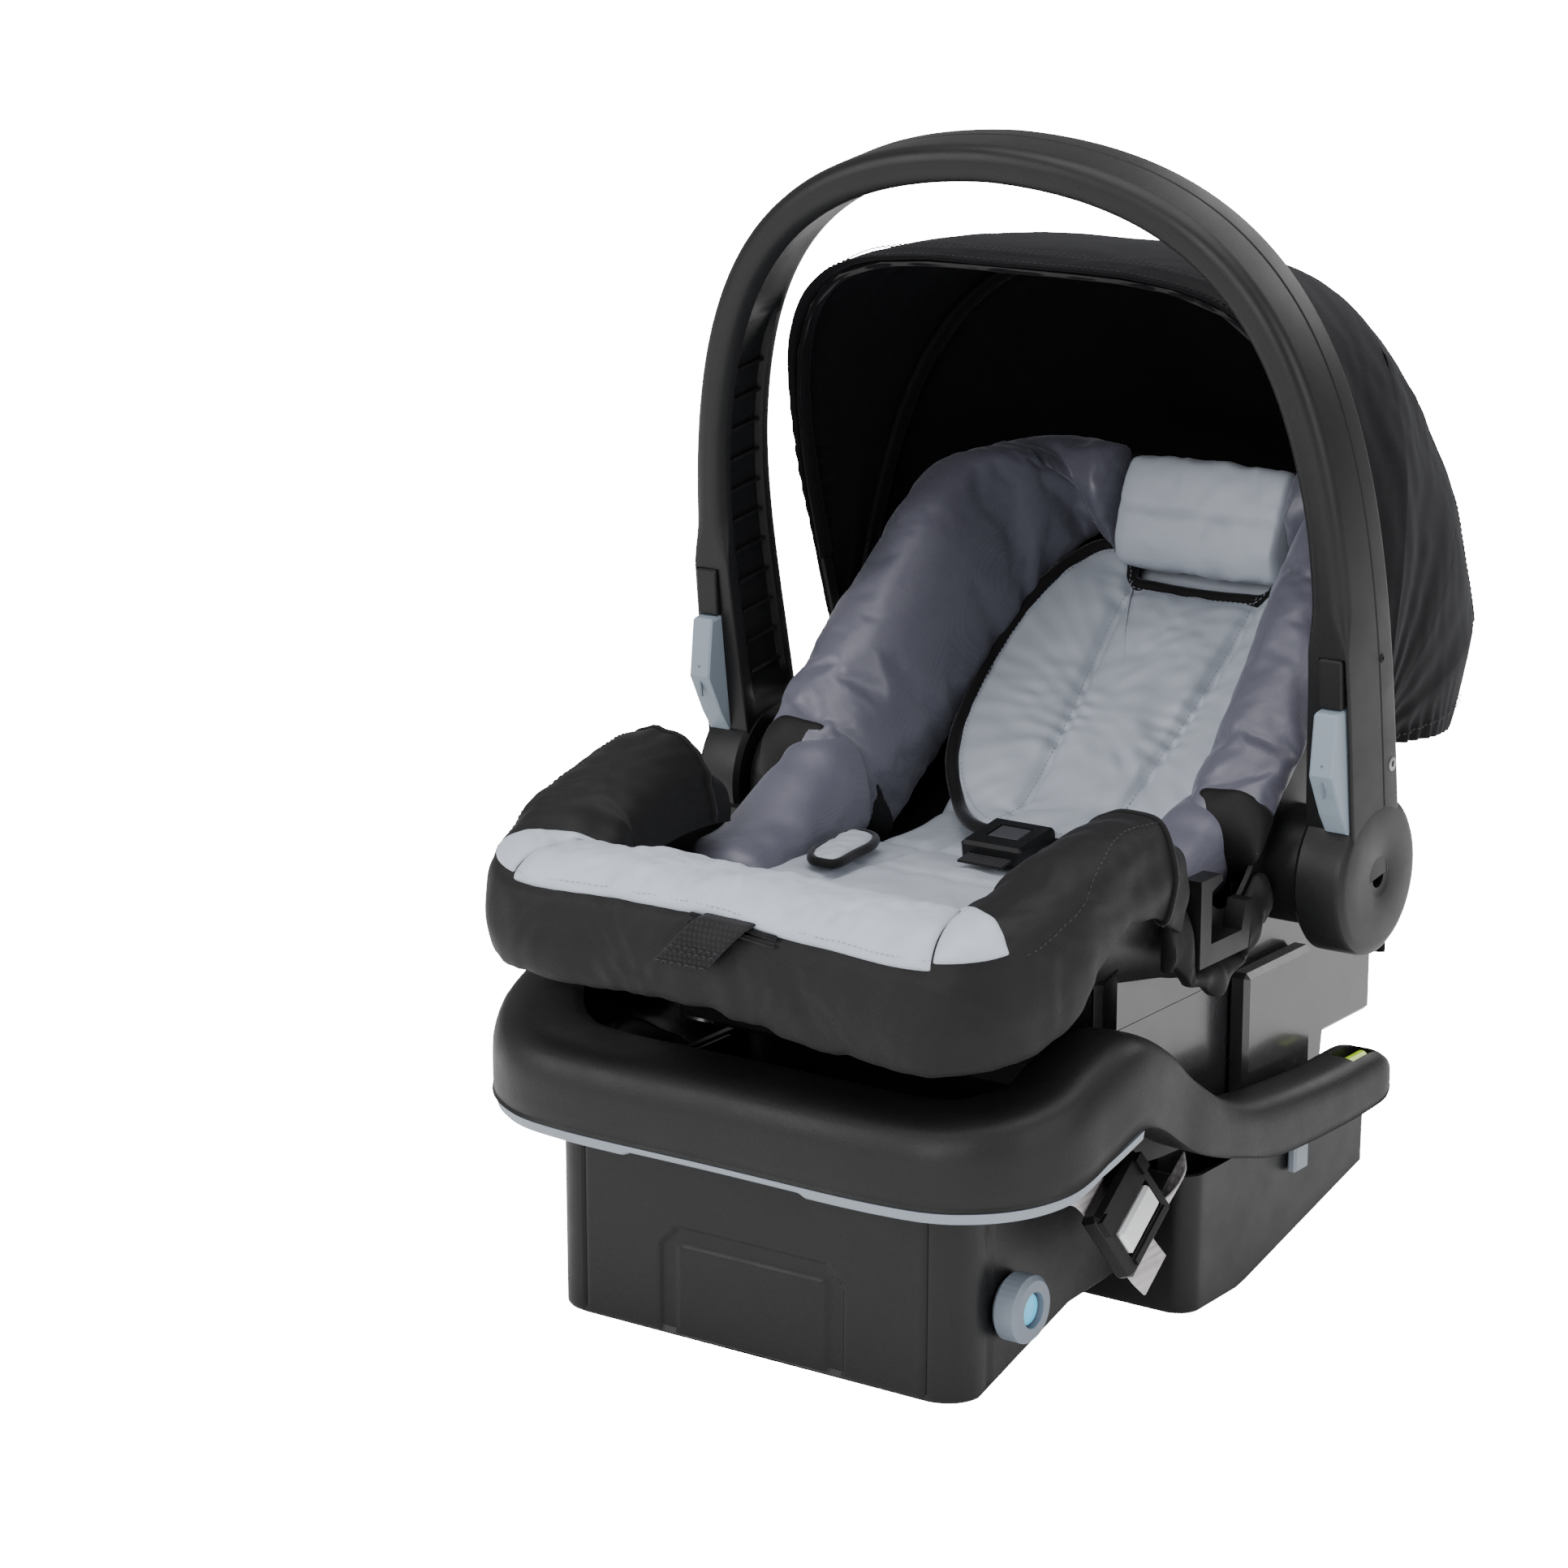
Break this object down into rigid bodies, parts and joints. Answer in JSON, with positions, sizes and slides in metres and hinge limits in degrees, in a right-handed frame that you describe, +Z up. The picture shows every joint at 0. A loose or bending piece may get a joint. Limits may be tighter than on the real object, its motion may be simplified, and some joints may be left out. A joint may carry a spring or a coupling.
{
  "type": "infant car seat",
  "caption": "Rear-facing infant carrier with a swinging carry handle, folding canopy and padded seat, docked in a low base with a rolled rim, recline knob and anchor belt.",
  "frame": {"origin": "on the floor under the middle of the whole object", "axes": "+Z up, -Y to the front of the seat (the foot end), +X to the side with the recline knob"},
  "size_m": [0.4452, 0.6774, 0.6512],
  "materials": {
    "black_plastic": "satin, fine texture",
    "dock_plastic": "polished",
    "grey_trim_plastic": "satin",
    "lever_plastic": "satin",
    "knob_plastic": "satin",
    "blue_button": "gloss",
    "red_button": "gloss",
    "silver_button": "satin",
    "steel": "plated",
    "level_vial": "clear liquid vial",
    "black_cloth": "woven polyester",
    "dark_grey_satin": "satin weave",
    "light_grey_satin": "satin weave",
    "black_webbing": "webbing",
    "grey_webbing": "webbing"
  },
  "bodies": {
    "base": {"base_tub": "black_plastic", "base_rim": "black_plastic", "rim_trim": "grey_trim_plastic", "level_vial": "level_vial", "adjuster_frame": "black_plastic", "anchor_web": "grey_webbing", "connector_clip_left": "grey_trim_plastic", "connector_clip_right": "grey_trim_plastic"},
    "carrier": {"carrier_shell": "black_plastic", "dock_wall": "dock_plastic", "dock_column_left": "dock_plastic", "dock_column_right": "dock_plastic", "hub_pin_left": "steel", "hub_pin_right": "steel", "canopy_pivot_left": "steel", "canopy_pivot_right": "steel", "belt_guide_left": "black_plastic", "belt_guide_right": "black_plastic", "cover_front_roll": "black_cloth", "side_cover_left": "black_cloth", "side_cover_right": "black_cloth", "side_bolster_left": "dark_grey_satin", "side_bolster_right": "dark_grey_satin", "seat_pad": "light_grey_satin", "body_insert": "light_grey_satin", "head_pad": "light_grey_satin", "thigh_pad": "light_grey_satin", "shoulder_strap_left": "black_webbing", "shoulder_strap_right": "black_webbing", "crotch_strap": "black_webbing", "buckle": "black_plastic", "harness_pull_strap": "black_webbing", "harness_adjuster": "black_plastic", "canopy_back_panel": "black_cloth"},
    "handle": {"handle_arch": "black_plastic", "lever_cap_left": "black_plastic", "lever_cap_right": "black_plastic", "arm_screw_left": "steel", "arm_screw_right": "steel"},
    "lever_left": {"release_lever_left": "lever_plastic"},
    "lever_right": {"release_lever_right": "lever_plastic"},
    "canopy_mid": {"canopy_mid_bow": "black_plastic", "canopy_middle_panel": "black_cloth"},
    "canopy_front": {"canopy_front_bow": "black_plastic", "canopy_front_panel": "black_cloth"},
    "buckle_press": {"buckle_button": "red_button"},
    "carrier_release": {"carrier_release_handle": "black_plastic"},
    "knob": {"recline_knob": "knob_plastic"},
    "knob_press": {"recline_button": "blue_button"},
    "foot": {"recline_foot": "black_plastic"},
    "adjuster_press": {"adjuster_button": "silver_button"}
  },
  "joints": [
    {"name": "carrier_lift", "type": "slide", "parent": "base", "child": "carrier", "axis": [0, 0, 1], "range_m": [0, 0.12]},
    {"name": "handle_swing", "type": "hinge", "parent": "carrier", "child": "handle", "pos_m": [0, 0.00584, 0.242], "axis": [1, 0, 0], "range_deg": [-95, 64]},
    {"name": "lever_squeeze_left", "type": "slide", "parent": "handle", "child": "lever_left", "axis": [0, 0.9903, 0.1392], "range_m": [0, 0.005], "stiffness_N_per_m": 600, "springref_m": -0.004},
    {"name": "lever_squeeze_right", "type": "slide", "parent": "handle", "child": "lever_right", "axis": [0, 0.9903, 0.1392], "range_m": [0, 0.005], "stiffness_N_per_m": 600, "springref_m": -0.004},
    {"name": "canopy_mid_fold", "type": "hinge", "parent": "carrier", "child": "canopy_mid", "pos_m": [0, 0.06884, 0.296], "axis": [-1, 0, 0], "range_deg": [0, 30], "deforming": ["canopy_middle_panel"]},
    {"name": "canopy_front_fold", "type": "hinge", "parent": "canopy_mid", "child": "canopy_front", "pos_m": [0, 0.06884, 0.296], "axis": [-1, 0, 0], "range_deg": [0, 21], "deforming": ["canopy_front_panel"]},
    {"name": "buckle_press", "type": "slide", "parent": "carrier", "child": "buckle_press", "axis": [0, 0.1392, -0.9903], "range_m": [0, 0.0015], "stiffness_N_per_m": 1500, "springref_m": -0.002},
    {"name": "carrier_release_pull", "type": "slide", "parent": "carrier", "child": "carrier_release", "axis": [0, 0.666, 0.746], "range_m": [0, 0.008], "stiffness_N_per_m": 800, "springref_m": -0.006},
    {"name": "recline_turn", "type": "hinge", "parent": "base", "child": "knob", "pos_m": [0.138, -0.24816, 0.047], "axis": [1, 0, 0], "range_deg": [0, 90]},
    {"name": "recline_button_press", "type": "slide", "parent": "knob", "child": "knob_press", "axis": [-1, 0, 0], "range_m": [0, 0.003], "stiffness_N_per_m": 500, "springref_m": -0.002},
    {"name": "recline_foot_tilt", "type": "hinge", "parent": "base", "child": "foot", "pos_m": [0, -0.11316, 0.022], "axis": [1, 0, 0], "range_deg": [0, 8]},
    {"name": "adjuster_press", "type": "slide", "parent": "base", "child": "adjuster_press", "axis": [-0.9272, 0, -0.3746], "range_m": [0, 0.003], "stiffness_N_per_m": 800, "springref_m": -0.002}
  ],
  "couplings": [
    {"joint": "canopy_front_fold", "follows": "canopy_mid_fold", "ratio": 0.7},
    {"joint": "recline_foot_tilt", "follows": "recline_turn", "ratio": 0.08889}
  ]
}
